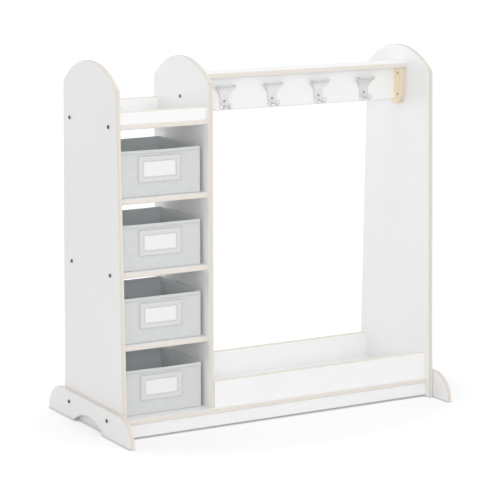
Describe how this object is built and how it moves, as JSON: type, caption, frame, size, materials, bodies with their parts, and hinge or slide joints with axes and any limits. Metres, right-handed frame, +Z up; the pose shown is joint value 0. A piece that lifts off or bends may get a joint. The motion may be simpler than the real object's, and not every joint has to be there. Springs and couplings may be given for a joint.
{
  "type": "dress up storage unit with mirror",
  "caption": "Children's clothes and toy unit with arched plywood panels, fabric bins in cubbies, a tray, a hat shelf, coat hooks, a shoe tray and a mirror on one end.",
  "frame": {"origin": "on the floor, under the middle of the unit", "axes": "+X to the right as seen from the front, +Y to the back, +Z up"},
  "size_m": [1.035, 0.52, 1.008],
  "materials": {
    "white_ply": "plywood with smooth white faces and bare birch edges under clear lacquer",
    "birch": "bare birch under clear lacquer",
    "black_steel": "black oxide",
    "zinc": "zinc plated",
    "satin_nickel": "cast, satin nickel plated",
    "linen": "light grey woven fabric over stiff board",
    "lining": "light grey non-woven fabric",
    "card": "plain white card",
    "mirror": "mirror sheet",
    "foam": "adhesive foam"
  },
  "bodies": {
    "unit": {"left_side_panel": "white_ply", "middle_panel": "white_ply", "right_side_panel": "white_ply", "left_foot": "white_ply", "right_foot": "white_ply", "base_board": "white_ply", "front_kick_plate": "white_ply", "rear_kick_plate": "white_ply", "front_lip": "white_ply", "back_lip": "white_ply", "lower_shelf": "white_ply", "centre_shelf": "white_ply", "upper_shelf": "white_ply", "tray_shelf": "white_ply", "tray_front_rail": "white_ply", "tray_back_rail": "white_ply", "hat_shelf": "white_ply", "hook_rail": "white_ply", "rail_cleat": "birch", "hook_1": "satin_nickel", "hook_2": "satin_nickel", "hook_3": "satin_nickel", "hook_4": "satin_nickel", "hook_screws": "black_steel", "cleat_screws": "black_steel", "rail_end_screws": "black_steel", "left_panel_bolts": "black_steel", "middle_panel_bolts": "black_steel", "middle_panel_base_bolts": "black_steel", "rail_bolt": "black_steel", "foot_bolts": "black_steel", "barrel_nuts": "zinc", "shelf_dowels": "birch", "lip_dowels": "birch", "kick_plate_dowels": "birch", "tray_rail_dowels": "birch", "hat_shelf_dowels": "birch", "dress_mirror": "mirror", "mirror_pads": "foam"},
    "bin_1": {"bin_1_body": "linen", "bin_1_lining": "lining", "bin_1_insert": "lining", "bin_1_label_pocket": "linen", "bin_1_card": "card"},
    "bin_2": {"bin_2_body": "linen", "bin_2_lining": "lining", "bin_2_insert": "lining", "bin_2_label_pocket": "linen", "bin_2_card": "card"},
    "bin_3": {"bin_3_body": "linen", "bin_3_lining": "lining", "bin_3_insert": "lining", "bin_3_label_pocket": "linen", "bin_3_card": "card"},
    "bin_4": {"bin_4_body": "linen", "bin_4_lining": "lining", "bin_4_insert": "lining", "bin_4_label_pocket": "linen", "bin_4_card": "card"}
  },
  "joints": [
    {"name": "bin_1_slide", "type": "slide", "parent": "unit", "child": "bin_1", "axis": [0, -1, 0], "range_m": [0, 0.28]},
    {"name": "bin_2_slide", "type": "slide", "parent": "unit", "child": "bin_2", "axis": [0, -1, 0], "range_m": [0, 0.28]},
    {"name": "bin_3_slide", "type": "slide", "parent": "unit", "child": "bin_3", "axis": [0, -1, 0], "range_m": [0, 0.28]},
    {"name": "bin_4_slide", "type": "slide", "parent": "unit", "child": "bin_4", "axis": [0, -1, 0], "range_m": [0, 0.28]}
  ]
}
